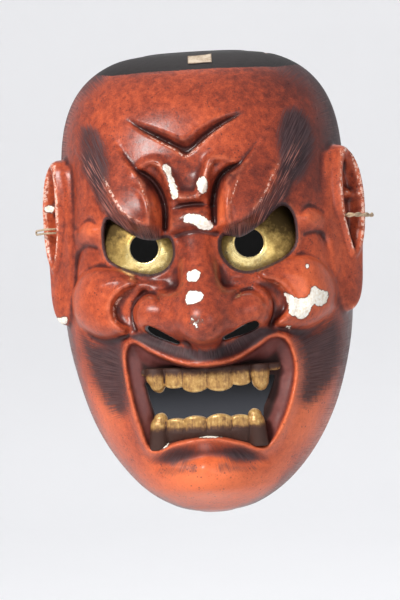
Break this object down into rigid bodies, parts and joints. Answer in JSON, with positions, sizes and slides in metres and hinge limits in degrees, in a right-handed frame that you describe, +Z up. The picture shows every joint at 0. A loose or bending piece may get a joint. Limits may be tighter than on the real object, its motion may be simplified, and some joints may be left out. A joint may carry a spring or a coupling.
{
  "type": "noh mask",
  "caption": "Carved wooden demon mask for the Noh stage: a hollow face shell with gilt eye plates, gilt teeth, pierced pupils and mouth, and cord loops at the ears.",
  "frame": {"origin": "middle of the rim that meets the wearer's face, halfway between chin and crown, in the rim's plane", "axes": "+Z up towards the crown, -Y the way the face looks, +Y out of the open back, +X to the right of a person who looks at the face"},
  "size_m": [0.1558, 0.0887, 0.21],
  "materials": {
    "lacquered_cypress": "satin red pigment and lacquer over white gofun, black hair strokes, worn edges",
    "gilt_metal": "gilt copper, rubbed",
    "gilt_teeth": "worn brown gilding over wood",
    "cord": "two-ply hemp string",
    "paper": "blank aged paper"
  },
  "bodies": {
    "root": {"face_shell": "lacquered_cypress", "left_eye_plate": "gilt_metal", "right_eye_plate": "gilt_metal", "upper_teeth": "gilt_teeth", "lower_teeth": "gilt_teeth", "left_ear_cord": "cord", "right_ear_cord": "cord", "label": "paper"}
  },
  "joints": []
}
